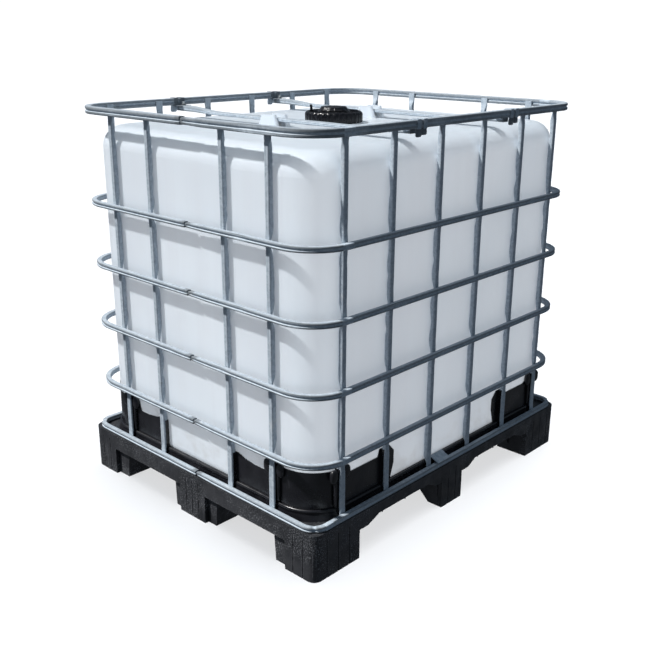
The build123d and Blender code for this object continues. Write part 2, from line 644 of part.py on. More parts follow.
def valve_handle():
    """The quarter-turn lever: a hub on the shaft and a ribbed arm that points across when closed."""
    hub = rod(15, LEVER_Z, LEVER_Z + 12, 0, STEM_Y)
    outline = [(0, -11), (LEVER_LENGTH - 14, -14), (LEVER_LENGTH, -6), (LEVER_LENGTH, 6),
               (LEVER_LENGTH - 14, 14), (0, 11)]
    arm = extrude(make_face(Polyline(outline, close=True)), 4)
    edge = arm - Pos(0, 0, -1) * extrude(scale(make_face(Polyline(outline, close=True)), 0.86), 6)
    rim = Pos(0, 0, 3) * edge
    rib = block(12, LEVER_LENGTH - 12, -1.5, 1.5, 3, 8)
    lever = Pos(0, STEM_Y, LEVER_Z) * joined([arm, rib, rim])
    return joined([hub, lever]) - rod(STEM_RADIUS, LEVER_Z - 1, LEVER_Z + 8, 0, STEM_Y) \
        - rod(2.6, LEVER_Z, LEVER_Z + 20, 0, STEM_Y)


def valve_handle_screw():
    head = extrude(Pos(0, STEM_Y, LEVER_Z + 12) * RegularPolygon(5.5, 6), 4)
    return head + rod(2.5, LEVER_Z + 8, LEVER_Z + 12.5, 0, STEM_Y)


def outlet_cap():
    """The screw cap over the valve's threaded end."""
    body = barrel(37, 565, 597)
    body = fillet(body.edges().group_by(Axis.Y)[-1], 4)
    ribs = []
    for i in range(16):
        angle = 2 * pi * i / 16
        rib = Pos(37 * cos(angle), 577, VALVE_Z + 37 * sin(angle))
        ribs.append(rib * Rot(0, -360.0 * i / 16, 0) * Box(4, 24, 5))
    return joined([body] + ribs) - barrel(33.2, 564, 592)


def outlet_cap_gasket():
    return barrel(30.5, VALVE_END + 0.2, 591.9) - barrel(20, VALVE_END, 600)


# --- write every piece --------------------------------------------------------------------------
def pieces():
    nodes = {"pallet": pallet(), "bottle": bottle()}
    guard = corner_guard()
    nodes["corner_guard_rear_right"] = guard
    nodes["corner_guard_rear_left"] = mirror(guard, about=Plane.YZ)
    nodes["corner_guard_front_right"] = mirror(guard, about=Plane.XZ)
    nodes["corner_guard_front_left"] = mirror(mirror(guard, about=Plane.XZ), about=Plane.YZ)
    for name, z0 in RING_BOTTOMS.items():
        nodes["cage_ring_" + name] = cage_ring(z0, RING_HEIGHT, RING_DEPTH)
    top_z = HEIGHT - CLAMP_SHEET - TOP_RING_HEIGHT
    nodes["cage_ring_top"] = cage_ring(top_z, TOP_RING_HEIGHT, TOP_RING_DEPTH)
    shape = upright()
    for side in (REAR, FRONT, LEFT, RIGHT):
        places = LONG_SIDE_UPRIGHTS if side in (LEFT, RIGHT) else SHORT_SIDE_UPRIGHTS
        for number, along in enumerate(places, 1):
            nodes[f"upright_{side}_{number}"] = upright_on(shape, side, along)
    nodes["cross_bar_front"] = cross_bar()
    nodes["cross_bar_rear"] = mirror(cross_bar(), about=Plane.XZ)
    clamp = bar_clamp()
    nodes["bar_clamp_front_right"] = clamp
    nodes["bar_clamp_front_left"] = mirror(clamp, about=Plane.YZ)
    nodes["bar_clamp_rear_right"] = mirror(clamp, about=Plane.XZ)
    nodes["bar_clamp_rear_left"] = mirror(mirror(clamp, about=Plane.XZ), about=Plane.YZ)
    nodes["bar_bolts"] = bar_bolts()
    nodes["hold_down_right"] = hold_down()
    nodes["hold_down_left"] = mirror(hold_down(), about=Plane.YZ)
    nodes["id_plate"] = id_plate()
    nodes["id_plate_rivets"] = plate_rivets()
    nodes["lid"] = lid()
    nodes["lid_gasket"] = lid_gasket()
    nodes["vent_plug"] = vent_plug()
    nodes["vent_plug_gasket"] = vent_plug_gasket()
    nodes["valve_body"] = valve_body()
    nodes["valve_seat"] = valve_seat()
    nodes["valve_gasket"] = valve_gasket()
    nodes["valve_union_nut"] = valve_union_nut()
    nodes["valve_disc"] = valve_disc()
    nodes["valve_shaft"] = valve_shaft()
    nodes["valve_handle"] = valve_handle()
    nodes["valve_handle_screw"] = valve_handle_screw()
    nodes["outlet_cap"] = outlet_cap()
    nodes["outlet_cap_gasket"] = outlet_cap_gasket()
    return nodes


os.makedirs("parts", exist_ok=True)
for node_name, node_shape in pieces().items():
    export_step(node_shape, f"parts/{node_name}.step")
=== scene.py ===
"""Visual model of an intermediate bulk container: a white bottle in a galvanised tube cage on a
black plastic pallet. Metres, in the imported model's frame: +Z up, +Y the short side with the valve.
"""
import functools
import json
import math
import random

import bpy
from mathutils import Matrix, Vector


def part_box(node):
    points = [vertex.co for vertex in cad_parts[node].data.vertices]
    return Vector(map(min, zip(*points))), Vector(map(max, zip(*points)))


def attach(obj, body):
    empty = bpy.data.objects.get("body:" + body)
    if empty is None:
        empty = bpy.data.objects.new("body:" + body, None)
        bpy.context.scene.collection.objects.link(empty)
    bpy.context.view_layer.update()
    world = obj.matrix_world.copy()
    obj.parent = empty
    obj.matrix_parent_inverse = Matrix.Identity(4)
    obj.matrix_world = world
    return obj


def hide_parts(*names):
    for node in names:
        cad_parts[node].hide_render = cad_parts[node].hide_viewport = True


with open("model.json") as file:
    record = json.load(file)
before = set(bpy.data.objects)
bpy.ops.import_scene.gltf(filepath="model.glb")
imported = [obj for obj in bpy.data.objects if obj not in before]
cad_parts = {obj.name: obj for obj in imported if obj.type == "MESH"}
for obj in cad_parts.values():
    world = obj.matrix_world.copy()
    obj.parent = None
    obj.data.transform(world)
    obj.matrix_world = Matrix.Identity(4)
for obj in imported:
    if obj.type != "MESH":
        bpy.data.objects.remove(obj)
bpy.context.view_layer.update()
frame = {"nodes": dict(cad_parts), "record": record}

MM = 0.001

# --- driving sizes ------------------------------------------------------------------------------
RINGS = ("bottom", "second", "third", "fourth", "fifth", "top")
RING_CORNER = 116.4 * MM          # outer corner radius of the rings
LOW_RING_CORNER = 52.0 * MM       # the bottom ring is bent tighter, with a crimp in each bend
RING_DEPTH = 16.0 * MM
TOP_RING_DEPTH = 20.0 * MM
RING_EDGE = 3.4 * MM
RING_GROOVE = 3.2 * MM            # rolled groove along the faces of a ring tube
SEAM_X = 21.0 * MM                # where a ring's ends meet, on the rear side
SEAM_GAP = 8.0 * MM
SEAM_TAPER = 60.0 * MM            # length of the swaged end beyond the seam
SWAGE = 0.16                      # how far that end narrows, as a share of the tube
NECK_INSET = 3.4 * MM             # the neck inside a seam against the tube's outside
CRIMP_DEPTH = 3.4 * MM            # dent in the outer face of each bend of the bottom ring
CRIMP_SQUEEZE = 0.22
CRIMP_SPREAD = 0.16
RING_KNOCKS = 16
RING_LENGTH = 4.2                 # metres of tube in a ring, for scattering its knocks
STATION = 11.0 * MM               # spacing of the sections along a straight tube

UPRIGHT_WIDTH = 16.0 * MM
UPRIGHT_DEPTH = 15.0 * MM
UPRIGHT_FLAT = 4.0 * MM           # thickness where an upright is pinched flat
UPRIGHT_EDGE = 3.6 * MM
TOP_FLAT_WIDTH = 24.0 * MM
TOP_FLAT_BOTTOM = 1134.0 * MM
SHAFT_TOP = 1106.0 * MM
SHAFT_BOTTOM = 186.0 * MM
LOW_FLAT_TOP = 160.0 * MM
FOOT_EXTRA = 4.4 * MM             # an upright is pressed wider below the second ring
FOOT_START = 22.0 * MM            # how far below that ring the widening starts, and its length
FOOT_EASE = 26.0 * MM
PRESS_REACH = 20.0 * MM           # half height of the dent where an upright crosses a ring
RIPPLE_OFFSET = 42.0 * MM         # the low bulges above and below that dent
RIPPLE_REACH = 13.0 * MM
UPRIGHT_KNOCKS = 14
WELD_GAP = 0.1 * MM

BAR_STATIONS = 90
BAR_END = 40.0 * MM               # full-height end of a cross bar
BAR_EASE = 150.0 * MM             # length over which it is pressed flat and low
BAR_FLATTEN = 0.38
BAR_DROP = 0.40
BAR_KNOCKS = 8

STRAP_PLACES = (-13.0 * MM, 12.0 * MM)         # the two straps of a clamp, along the ring
STRAP_HALF = 7.5 * MM
STRAP_TONGUE = 444.0 * MM         # how far in the straps reach under the bar
STRAP_LIP = 7.6 * MM
LUG_DROPS = (21.0 * MM, 17.0 * MM)             # how far the lug below each strap hangs down
LUG_INSET = 5.0                   # in millimetres, from the strap's face to the lug's middle

CORNER_UPRIGHT_X = 323.0 * MM     # the uprights beside each corner, on the short and long sides
CORNER_UPRIGHT_Y = 474.0 * MM
EAR_OFFSET = 24.0 * MM            # from such an upright to the guard's lobes beside it
EAR_SIZE = (13.0 * MM, 8.0 * MM, 20.0 * MM)    # half sizes: along the wall, out from it, up
EAR_STANDOUT = 6.5 * MM
EAR_HEIGHTS = (266.0 * MM, 264.0 * MM)         # on the short side and the long side
RIB_SIZE = (5.0 * MM, 6.0 * MM, 54.0 * MM)     # the rib below a lobe, nearer to the upright
RIB_STANDOUT = 5.0 * MM
RIB_SHIFT = 8.0 * MM
RIB_HEIGHTS = (222.0 * MM, 222.0 * MM)

BOTTLE_CORNER = 110.0 * MM
FOOT_ROUND = 26.0 * MM            # radius of the pallet's corners
FILLER_ENDS = (1.5 * MM, 136.0 * MM)           # the strips' ends, eased over a little height
FILLER_FACE = 25.7 * MM
FILLER_BACK = 20.0 * MM
FILLER_EASE = 0.6 * MM

LID_GRIPS = 30
PLUG_GRIPS = 12

KEY_WAY = (0.85, 1.0, -1.85)      # the way the key light travels

AZIMUTH, ELEVATION, ROLL = 43.33, 18.43, 0.25  # degrees; azimuth 0 looks along +Y
AIM = Vector((0.2439, -0.2933, 0.58))
DISTANCE = 2.5056
LENS, SENSOR = 49.31, 36.0        # millimetres, as the camera has them


@functools.cache
def box(node):
    """(lowest corner, highest corner) of a CAD node at rest."""
    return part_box(node)


# --- meshes -------------------------------------------------------------------------------------
def make_piece(name, points, faces, slot, body, sharp=35.0):
    """A mesh object in the frame, smooth except where its faces turn by more than sharp degrees."""
    mesh = bpy.data.meshes.new(name)
    mesh.from_pydata([tuple(p) for p in points], [], faces)
    mesh.validate()
    for face in mesh.polygons:
        face.use_smooth = True
    mesh.set_sharp_from_angle(angle=math.radians(sharp))
    mesh.update()
    piece = bpy.data.objects.new(name, mesh)
    bpy.context.scene.collection.objects.link(piece)
    mesh.materials.append(MATERIALS[slot])
    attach(piece, body)
    return piece


def skin(sections, closed=False):
    """Points and faces of a solid tube through sections, each a ring of as many points."""
    count = len(sections[0])
    points = [p for section in sections for p in section]
    faces = []
    rows = len(sections) if closed else len(sections) - 1
    for i in range(rows):
        a, b = i * count, (i + 1) % len(sections) * count
        for j in range(count):
            k = (j + 1) % count
            faces.append((a + j, a + k, b + k, b + j))
    if not closed:
        last = (len(sections) - 1) * count
        faces.append(tuple(reversed(range(count))))
        faces.append(tuple(range(last, last + count)))
    return points, faces


def merged(solids):
    """Several closed solids, each points and faces, as one mesh."""
    points, faces = [], []
    for some_points, some_faces in solids:
        start = len(points)
        points += some_points
        faces += [tuple(start + i for i in face) for face in some_faces]
    return points, faces


def rounded_section(depth, width, edge, groove=0.0, steps=5):
    """A tube's section: (inward, across) pairs round a rounded rectangle with grooved faces.

    inward is 0 on the outer face and depth on the inner one, across is centred on 0.
    """
    half = width / 2
    corners = [
        (edge, half - edge, 180.0, 90.0), (depth - edge, half - edge, 90.0, 0.0),
        (depth - edge, edge - half, 0.0, -90.0), (edge, edge - half, -90.0, -180.0),
    ]
    waist = min(max(2.2 * MM, 1.1 * groove), half - edge)
    section = []
    for number, (x, y, start, stop) in enumerate(corners):
        for i in range(steps):
            angle = math.radians(start + (stop - start) * i / (steps - 1))
            section.append((x + edge * math.cos(angle), y + edge * math.sin(angle)))
        if number == 1:
            section += groove_points(depth, waist, -groove)
        if number == 3:
            section += [(x, -y) for x, y in groove_points(0.0, waist, groove)]
    return section


def groove_points(face, waist, depth):
    """A shallow groove in the middle of a face that is crossed from +across to -across."""
    return [(face, waist), (face + depth, waist * 0.35), (face + depth, -waist * 0.35), (face, -waist)]


def lathe(rows, steps, centre, lugs=0):
    """A turned closed solid: rows of (radius, z, lug), where lug is how far its grips stand out."""
    points, rings = [], []
    for radius, z, lug in rows:
        if radius == 0.0:
            rings.append([len(points)] * steps)
            points.append(centre + Vector((0, 0, z)))
            continue
        ring = []
        for i in range(steps):
            angle = 2 * math.pi * i / steps
            wave = min(1.0, max(0.0, 0.5 + 1.7 * math.sin(lugs * angle))) if lugs else 0.0
            reach = radius + lug * wave
            ring.append(len(points))
            points.append(centre + Vector((reach * math.cos(angle), reach * math.sin(angle), z)))
        rings.append(ring)
    faces = []
    pairs = list(zip(rings, rings[1:]))
    if rows[0][0] > 0.0:
        pairs.append((rings[-1], rings[0]))
    for a, b in pairs:
        for i in range(steps):
            k = (i + 1) % steps
            corners = []
            for corner in (a[i], b[i], b[k], a[k]):
                if corner not in corners:
                    corners.append(corner)
            faces.append(tuple(corners))
    return points, faces


def nugget(centre, size, seed):
    """A small lumpy weld bead."""
    chance = random.Random(seed)
    rows, steps = 5, 8
    points = [centre + Vector((0, 0, size.z))]
    for i in range(1, rows):
        tilt = math.pi * i / rows
        for j in range(steps):
            turn = 2 * math.pi * j / steps
            lump = chance.uniform(0.85, 1.1)
            points.append(centre + Vector((size.x * lump * math.sin(tilt) * math.cos(turn),
                                           size.y * lump * math.sin(tilt) * math.sin(turn),
                                           size.z * math.cos(tilt))))
    points.append(centre - Vector((0, 0, size.z)))
    last = len(points) - 1
    faces = []
    for j in range(steps):
        k = (j + 1) % steps
        faces.append((0, 1 + j, 1 + k))
        faces.append((last, last - steps + k, last - steps + j))
        for i in range(rows - 2):
            a, b = 1 + i * steps, 1 + (i + 1) * steps
            faces.append((a + j, b + j, b + k, a + k))
    return points, faces


# --- materials ----------------------------------------------------------------------------------
class Paint:
    """A procedural material: one Principled shader, and short calls that add nodes before it."""

    def __init__(self, name, metallic=0.0, specular=0.5, coat=0.0):
        self.material = bpy.data.materials.new(name)
        self.material.use_nodes = True
        self.tree = self.material.node_tree
        self.shader = self.tree.nodes["Principled BSDF"]
        self.shader.inputs["Metallic"].default_value = metallic
        self.shader.inputs["Specular IOR Level"].default_value = specular
        self.shader.inputs["Coat Weight"].default_value = coat
        self.place = self.add("ShaderNodeTexCoord").outputs["Object"]
        self.normal = None

    def add(self, kind, inputs=(), **settings):
        node = self.tree.nodes.new(kind)
        for key, value in settings.items():
            setattr(node, key, value)
        for key, value in dict(inputs).items():
            self.put(node.inputs[key], value)
        return node

    def put(self, socket, value):
        if isinstance(value, bpy.types.NodeSocket):
            self.tree.links.new(value, socket)
        else:
            socket.default_value = value

    def stretched(self, x, y, z):
        return self.add("ShaderNodeMapping", {"Vector": self.place, "Scale": (x, y, z)}).outputs[0]

    def noise(self, scale, detail=4.0, rough=0.5, place=None):
        inputs = {"Vector": place or self.place, "Scale": scale, "Detail": detail, "Roughness": rough}
        return self.add("ShaderNodeTexNoise", inputs).outputs["Fac"]

    def cells(self, scale, place=None):
        """A random value for each cell, as in zinc spangle."""
        inputs = {"Vector": place or self.place, "Scale": scale}
        colour = self.add("ShaderNodeTexVoronoi", inputs).outputs["Color"]
        return self.add("ShaderNodeSeparateColor", {"Color": colour}).outputs[0]

    def ramp(self, value, start, stop, low=0.0, high=1.0):
        inputs = {"Value": value, "From Min": start, "From Max": stop, "To Min": low, "To Max": high}
        return self.add("ShaderNodeMapRange", inputs, interpolation_type="SMOOTHSTEP").outputs[0]

    def times(self, a, b):
        return self.add("ShaderNodeMath", {0: a, 1: b}, operation="MULTIPLY").outputs[0]

    def plus(self, a, b):
        return self.add("ShaderNodeMath", {0: a, 1: b}, operation="ADD").outputs[0]

    def mix(self, amount, a, b):
        node = self.add("ShaderNodeMix", {0: amount, 6: rgba(a), 7: rgba(b)}, data_type="RGBA")
        return node.outputs[2]

    def facing_up(self, start, stop):
        normal = self.add("ShaderNodeNewGeometry").outputs["Normal"]
        height = self.add("ShaderNodeSeparateXYZ", {0: normal}).outputs[2]
        return self.ramp(height, start, stop)

    def height(self, start, stop):
        z = self.add("ShaderNodeSeparateXYZ", {0: self.place}).outputs[2]
        return self.ramp(z, start, stop)

    def edges(self, radius):
        """How near each place is to a sharp edge: 1 on the edge, 0 further off than radius."""
        rounded = self.add("ShaderNodeBevel", {"Radius": radius}, samples=4).outputs[0]
        plain = self.add("ShaderNodeNewGeometry").outputs["Normal"]
        along = self.add("ShaderNodeVectorMath", {0: rounded, 1: plain}, operation="DOT_PRODUCT")
        return self.ramp(along.outputs["Value"], 0.998, 0.86)

    def hollows(self, start, stop):
        """How deep in a groove each place is: 1 in a sharp groove, 0 on flat and rounded faces."""
        bend = self.add("ShaderNodeNewGeometry").outputs["Pointiness"]
        return self.ramp(bend, start, stop)

    def creases(self, reach, start, stop):
        """How shut in each place is within reach of itself: 1 at the bottom of a groove."""
        node = self.add("ShaderNodeAmbientOcclusion", {"Distance": reach}, samples=6, only_local=True)
        return self.ramp(node.outputs["AO"], start, stop)

    def bump(self, value, distance, strength=1.0):
        inputs = {"Height": value, "Distance": distance, "Strength": strength}
        if self.normal is not None:
            inputs["Normal"] = self.normal
        self.normal = self.add("ShaderNodeBump", inputs).outputs[0]

    def done(self, colour, rough):
        self.put(self.shader.inputs["Base Color"], colour)
        self.put(self.shader.inputs["Roughness"], rough)
        if self.normal is not None:
            self.put(self.shader.inputs["Normal"], self.normal)
        return self.material


def rgba(colour):
    return colour if isinstance(colour, bpy.types.NodeSocket) else (*colour, 1.0)


def pallet_plastic():
    """Black regrind polyethylene: mottled, scuffed, with pale grit and dusty upper faces; painted shade
    darkens its grooves and its upward faces, and its lighter edges are partly wear, partly a painted
    highlight.
    """
    p = Paint("pallet_plastic", specular=0.45)
    edge = p.edges(2.5 * MM)
    mottle = p.ramp(p.noise(9.0, 5.0), 0.35, 0.65)
    colour = p.mix(mottle, (0.016, 0.017, 0.020), (0.036, 0.037, 0.042))
    grit = p.ramp(p.noise(240.0, 3.0, 0.7), 0.52, 0.64)
    patches = p.ramp(p.noise(11.0, 3.0), 0.42, 0.60, 0.10, 1.0)
    colour = p.mix(p.times(grit, patches), colour, (0.21, 0.218, 0.235))
    drag = p.ramp(p.noise(70.0, 3.0, 0.6, p.stretched(1.0, 1.0, 0.08)), 0.56, 0.74, 0.0, 0.5)
    colour = p.mix(drag, colour, (0.075, 0.078, 0.088))
    # lighter edges: partly edge wear, partly a painted highlight on the rounded edges
    worn = p.times(edge, p.ramp(p.noise(60.0, 4.0), 0.38, 0.60))
    colour = p.mix(p.times(worn, 0.8), colour, (0.16, 0.165, 0.18))
    # painted shade: faces that look upwards are painted darker
    colour = p.mix(p.times(p.facing_up(0.7, 0.95), 0.75), colour, (0.012, 0.013, 0.016))
    dust = p.times(p.facing_up(0.5, 0.95), p.ramp(p.noise(22.0, 5.0), 0.3, 0.7, 0.1, 0.6))
    colour = p.mix(p.times(dust, 0.25), colour, (0.05, 0.052, 0.056))
    # painted shade: the bottoms of grooves and creases are painted near black
    colour = p.mix(p.times(p.creases(7 * MM, 0.72, 0.40), 0.92), colour, (0.003, 0.003, 0.004))
    p.bump(p.noise(650.0, 2.0), 0.5 * MM, 0.35)
    p.bump(p.noise(60.0, 4.0), 1.5 * MM, 0.35)
    p.bump(drag, 0.4 * MM, 0.5)
    return p.done(colour, p.ramp(p.noise(30.0, 4.0), 0.3, 0.7, 0.38, 0.66))


def guard_plastic():
    """Black polyethylene sheet, smoother than the pallet, with rub marks and soft waves."""
    p = Paint("guard_plastic", specular=0.5)
    edge = p.edges(1.2 * MM)
    mottle = p.ramp(p.noise(12.0, 4.0), 0.35, 0.65)
    colour = p.mix(mottle, (0.005, 0.005, 0.007), (0.013, 0.013, 0.017))
    rub = p.ramp(p.noise(120.0, 4.0, 0.6, p.stretched(1.0, 1.0, 0.2)), 0.58, 0.75, 0.0, 0.35)
    colour = p.mix(rub, colour, (0.05, 0.052, 0.06))
    colour = p.mix(p.times(edge, 0.35), colour, (0.07, 0.072, 0.08))
    p.bump(p.noise(26.0, 3.0, 0.5, p.stretched(1.0, 1.0, 0.5)), 3.0 * MM, 0.35)
    p.bump(p.noise(500.0, 2.0), 0.3 * MM, 0.25)
    return p.done(colour, p.ramp(p.noise(18.0, 4.0), 0.3, 0.7, 0.22, 0.42))


def bottle_plastic():
    """Natural white polyethylene: faint flow streaks, thickness shading, scuffs and grime."""
    p = Paint("bottle_plastic", specular=0.4)
    shader = p.shader.inputs
    shader["Subsurface Weight"].default_value = 0.12
    shader["Subsurface Radius"].default_value = (0.9, 1.0, 1.2)
    shader["Subsurface Scale"].default_value = 0.02
    thick = p.ramp(p.noise(2.6, 3.0), 0.3, 0.7)
    colour = p.mix(thick, (0.715, 0.765, 0.810), (0.775, 0.820, 0.860))
    streak = p.ramp(p.noise(11.0, 4.0, 0.55, p.stretched(1.0, 1.0, 0.07)), 0.35, 0.7, 0.0, 0.5)
    colour = p.mix(streak, colour, (0.70, 0.725, 0.765))
    scuff = p.ramp(p.noise(130.0, 5.0, 0.65, p.stretched(1.0, 1.0, 0.35)), 0.66, 0.80, 0.0, 0.35)
    colour = p.mix(scuff, colour, (0.60, 0.61, 0.63))
    grime = p.times(p.ramp(p.noise(16.0, 5.0), 0.45, 0.72), p.height(0.36, 0.16))
    colour = p.mix(p.times(grime, 0.35), colour, (0.46, 0.44, 0.41))
    p.bump(p.noise(5.0, 2.0, 0.4, p.stretched(1.0, 1.0, 0.45)), 9.0 * MM, 0.30)
    p.bump(p.noise(240.0, 2.0), 0.25 * MM, 0.12)
    rough = p.plus(p.ramp(p.noise(20.0, 4.0), 0.3, 0.7, 0.30, 0.42), p.times(scuff, 0.3))
    return p.done(colour, rough)


def zinc(name, low, high, metallic, spangle, rough_low, rough_high, run=(1.0, 1.0, 1.0)):
    """Galvanised steel: zinc spangle, rolling streaks, white rust, rubbed bright patches and painted
    shade in its grooves.
    """
    p = Paint(name, metallic=metallic, specular=0.22)
    flake = p.cells(spangle)
    colour = p.mix(p.ramp(flake, 0.0, 1.0), low, high)
    streak = p.ramp(p.noise(160.0, 3.0, 0.6, p.stretched(*run)), 0.50, 0.72, 0.0, 0.45)
    colour = p.mix(streak, colour, tuple(0.62 * c for c in low))
    chalk = p.ramp(p.noise(19.0, 5.0, 0.6), 0.56, 0.74, 0.0, 0.55)
    colour = p.mix(chalk, colour, (0.66, 0.68, 0.69))
    stain = p.ramp(p.noise(33.0, 5.0, 0.6), 0.62, 0.78, 0.0, 0.5)
    colour = p.mix(stain, colour, (0.20, 0.20, 0.195))
    # painted shade: the grooves along the tube are painted darker
    colour = p.mix(p.times(p.hollows(0.495, 0.455), 0.8), colour, (0.10, 0.11, 0.12))
    p.bump(flake, 0.25 * MM, 0.30)
    p.bump(p.noise(90.0, 4.0), 0.8 * MM, 0.30)
    rough = p.plus(p.ramp(flake, 0.0, 1.0, rough_low, rough_high), p.times(chalk, 0.25))
    return p.done(colour, rough)


def gloss_black(name, low, high, rough_low, rough_high, dusty=0.45):
    """Shiny black moulding with dust where it faces up and fine scratches."""
    p = Paint(name, specular=0.3, coat=0.1)
    p.shader.inputs["Coat Roughness"].default_value = 0.16
    edge = p.edges(0.8 * MM)
    colour = p.mix(p.ramp(p.noise(35.0, 4.0), 0.35, 0.65), low, high)
    dust = p.times(p.facing_up(0.3, 0.95), p.ramp(p.noise(70.0, 5.0, 0.6), 0.40, 0.68, 0.0, dusty))
    colour = p.mix(dust, colour, (0.15, 0.148, 0.14))
    colour = p.mix(p.times(edge, 0.35), colour, (0.08, 0.08, 0.085))
    p.bump(p.noise(420.0, 3.0), 0.2 * MM, 0.25)
    p.bump(p.noise(60.0, 3.0), 0.5 * MM, 0.2)
    rough = p.plus(p.ramp(p.noise(50.0, 4.0), 0.3, 0.7, rough_low, rough_high), p.times(dust, 0.6))
    return p.done(colour, rough)


def moulded(name, low, high, worn, rough_low, rough_high, specular=0.45):
    """Plain moulded plastic or rubber with mottling, fine grain, rubbed edges and dirt."""
    p = Paint(name, specular=specular)
    edge = p.edges(0.8 * MM)
    colour = p.mix(p.ramp(p.noise(28.0, 4.0), 0.35, 0.65), low, high)
    dirt = p.ramp(p.noise(55.0, 5.0, 0.65), 0.58, 0.76, 0.0, 0.4)
    colour = p.mix(dirt, colour, tuple(0.45 * c for c in low))
    colour = p.mix(p.times(edge, p.ramp(p.noise(90.0, 3.0), 0.4, 0.6, 0.1, 0.7)), colour, worn)
    p.bump(p.noise(520.0, 2.0), 0.25 * MM, 0.3)
    p.bump(p.noise(45.0, 3.0), 0.5 * MM, 0.2)
    return p.done(colour, p.ramp(p.noise(40.0, 4.0), 0.3, 0.7, rough_low, rough_high))


MATERIALS = {
    "pallet_plastic": pallet_plastic(),
    "guard_plastic": guard_plastic(),
    "bottle_plastic": bottle_plastic(),
    "galvanised_tube": zinc("galvanised_tube", (0.40, 0.465, 0.53), (0.50, 0.565, 0.625), 0.06,
                            130.0, 0.55, 0.72),
    "galvanised_sheet": zinc("galvanised_sheet", (0.32, 0.39, 0.46), (0.46, 0.52, 0.58), 0.12,
                             90.0, 0.50, 0.66),
    "zinc_bolt": zinc("zinc_bolt", (0.50, 0.52, 0.53), (0.62, 0.64, 0.64), 0.7, 400.0, 0.25, 0.40),
    "shaft_steel": zinc("shaft_steel", (0.50, 0.50, 0.50), (0.60, 0.60, 0.59), 0.9, 700.0,
                        0.20, 0.32, (0.1, 1.0, 1.0)),
    "lid_plastic": gloss_black("lid_plastic", (0.004, 0.004, 0.006), (0.009, 0.009, 0.012), 0.24, 0.38,
                               0.10),
    "nut_plastic": gloss_black("nut_plastic", (0.012, 0.012, 0.014), (0.024, 0.024, 0.027), 0.34, 0.5),
    "gasket_rubber": moulded("gasket_rubber", (0.020, 0.020, 0.020), (0.032, 0.032, 0.031),
                             (0.07, 0.07, 0.07), 0.6, 0.8, 0.3),
    "valve_plastic": moulded("valve_plastic", (0.66, 0.69, 0.71), (0.74, 0.77, 0.79),
                             (0.82, 0.83, 0.84), 0.36, 0.52),
    "disc_plastic": moulded("disc_plastic", (0.62, 0.63, 0.63), (0.70, 0.71, 0.71),
                            (0.78, 0.78, 0.78), 0.34, 0.5),
    "handle_plastic": moulded("handle_plastic", (0.44, 0.020, 0.014), (0.56, 0.036, 0.022),
                              (0.66, 0.14, 0.10), 0.28, 0.44),
    "cap_plastic": moulded("cap_plastic", (0.42, 0.018, 0.014), (0.54, 0.030, 0.020),
                           (0.64, 0.12, 0.09), 0.30, 0.46),
}


def dress_cad_nodes():
    """Every CAD node that stays shown gets the finish that its record slot names."""
    for part in frame["record"]["subparts"]:
        node = frame["nodes"][part["node"]]
        node.data.materials.clear()
        node.data.materials.append(MATERIALS[part["material_slot"]])


# --- cage ---------------------------------------------------------------------------------------
def loop_stations(half_x, half_y, corner, gap=SEAM_GAP):
    """(place, outward) pairs once round a rounded rectangle, from the seam to the seam."""
    corners = [(1, -1, -90.0), (1, 1, 0.0), (-1, 1, 90.0), (-1, -1, 180.0)]
    start = Vector((SEAM_X + gap / 2, -half_y, 0))
    stations = []
    here = start
    for sx, sy, angle in corners:
        centre = Vector((sx * (half_x - corner), sy * (half_y - corner), 0))
        out = turned(angle)
        bend = centre + out * corner
        stations += straight(here, bend, out)
        for i in range(1, 21):
            out = turned(angle + 90.0 * i / 20)
            stations.append((centre + out * corner, out))
        here = stations[-1][0]
    stations += straight(here, Vector((SEAM_X - gap / 2, -half_y, 0)), turned(-90.0))[1:]
    return stations if gap else stations[:-1]


def turned(degrees):
    angle = math.radians(degrees)
    return Vector((math.cos(angle), math.sin(angle), 0))


def straight(start, stop, out):
    count = max(2, round((stop - start).length / STATION))
    return [(start.lerp(stop, i / count), out) for i in range(count + 1)]


def dent_list(seed, length, count):
    """(place along, width, depth) of the small knocks in one ring."""
    chance = random.Random(seed)
    return [(chance.uniform(0, length), chance.uniform(12, 40) * MM, chance.uniform(0.3, 1.3) * MM)
            for _ in range(count)]


def ring_tube(name, seed):
    """One ring as a grooved tube with knocks, open at its seam, with its swaged neck between."""
    low, high = box("cage_ring_" + name)
    depth = TOP_RING_DEPTH if name == "top" else RING_DEPTH
    height = high.z - low.z
    middle = (low.z + high.z) / 2
    section = rounded_section(depth, height, RING_EDGE, RING_GROOVE)
    corner = LOW_RING_CORNER if name == "bottom" else RING_CORNER
    stations = loop_stations(high.x, high.y, corner)
    dents = dent_list(seed, RING_LENGTH, RING_KNOCKS)
    along, sections, last = 0.0, [], stations[0][0]
    for place, out in stations:
        along += (place - last).length
        last = place
        dent = sum(d * math.exp(-((along - s) / w) ** 2) for s, w, d in dents)
        swage = SWAGE * max(0.0, 1.0 - along / SEAM_TAPER) ** 0.5
        crimp = 0.0
        if name == "bottom":
            crimp = math.exp(-((abs(out.x) - abs(out.y)) / CRIMP_SPREAD) ** 2)
        row = []
        for inward, across in section:
            inward = max(inward, dent * (1 - inward / depth))
            inward += swage * (depth / 2 - inward) + CRIMP_DEPTH * crimp * (1 - inward / depth)
            across *= 1 - swage - CRIMP_SQUEEZE * crimp
            row.append(place - out * inward + Vector((0, 0, middle + across)))
        sections.append(row)
    neck_section = rounded_section(depth - 2 * NECK_INSET, height - 2 * NECK_INSET, RING_EDGE * 0.6)
    neck = []
    for x in (SEAM_X - 20 * MM, SEAM_X, SEAM_X + SEAM_GAP / 2 + 3 * MM):
        neck.append([Vector((x, -high.y + NECK_INSET + inward, middle + across))
                     for inward, across in neck_section])
    return merged([skin(sections), skin(neck)])


